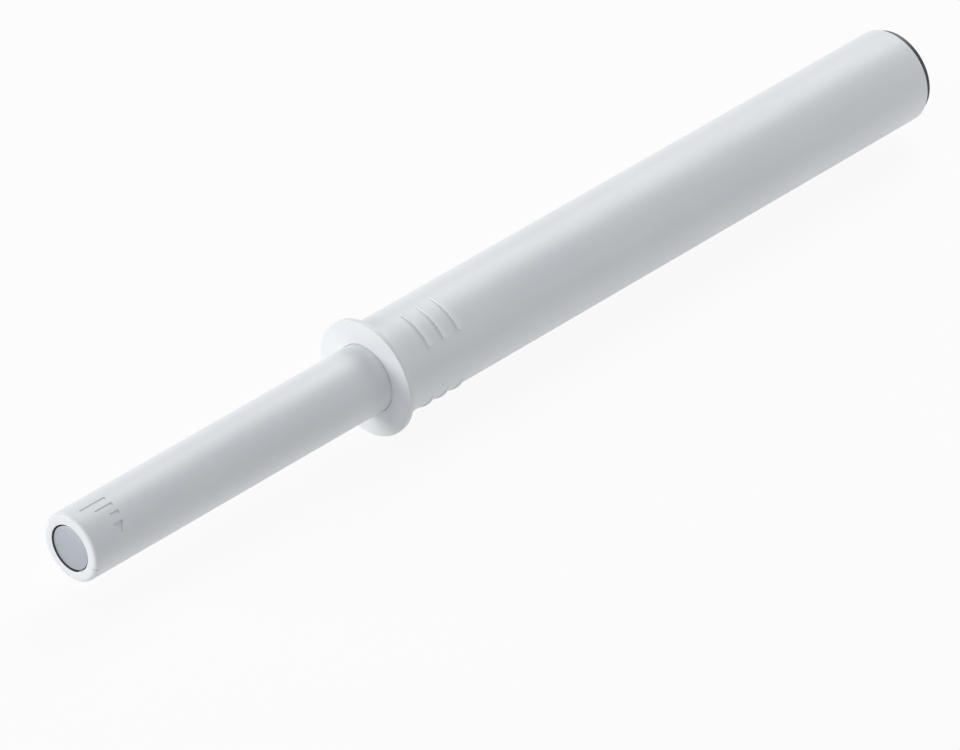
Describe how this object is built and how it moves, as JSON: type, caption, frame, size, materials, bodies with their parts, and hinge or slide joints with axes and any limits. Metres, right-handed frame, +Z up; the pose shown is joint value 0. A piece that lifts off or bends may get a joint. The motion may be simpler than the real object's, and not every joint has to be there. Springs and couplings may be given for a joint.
{
  "type": "touch latch",
  "caption": "Press-in touch latch: a flanged, barbed tube with a spring-loaded plunger whose magnetic tip turns to set the door gap.",
  "frame": {"origin": "centre of the flange's back face, where the flange seats on the panel", "axes": "+Y along the body to its rear, -Y towards the plunger's tip, +Z up"},
  "size_m": [0.012, 0.1141, 0.012],
  "materials": {
    "white_plastic": "satin",
    "dark_plastic": "satin",
    "natural_plastic": "satin",
    "magnet_plating": "satin",
    "spring_steel": "drawn wire"
  },
  "bodies": {
    "housing": {"housing": "white_plastic", "end_cap": "dark_plastic", "cam_block": "natural_plastic"},
    "carriage": {"carriage": "natural_plastic", "return_spring": "spring_steel", "catch_wire": "spring_steel"},
    "adjuster": {"adjuster_ring": "natural_plastic"},
    "plunger": {"plunger_sleeve": "white_plastic", "magnet": "magnet_plating"}
  },
  "joints": [
    {"name": "plunger_stroke", "type": "slide", "parent": "housing", "child": "carriage", "axis": [0, 1, 0], "range_m": [0, 0.038], "stiffness_N_per_m": 161, "springref_m": -0.005, "deforming": ["return_spring", "catch_wire"]},
    {"name": "adjust_travel", "type": "slide", "parent": "carriage", "child": "adjuster", "axis": [0, -1, 0], "range_m": [0, 0.003]},
    {"name": "adjust_turn", "type": "hinge", "parent": "adjuster", "child": "plunger", "pos_m": [0, 0, 0], "axis": [0, 1, 0], "range_deg": [0, 270]}
  ],
  "couplings": [
    {"joint": "adjust_turn", "follows": "adjust_travel", "rad_per_m": 1570.8}
  ]
}
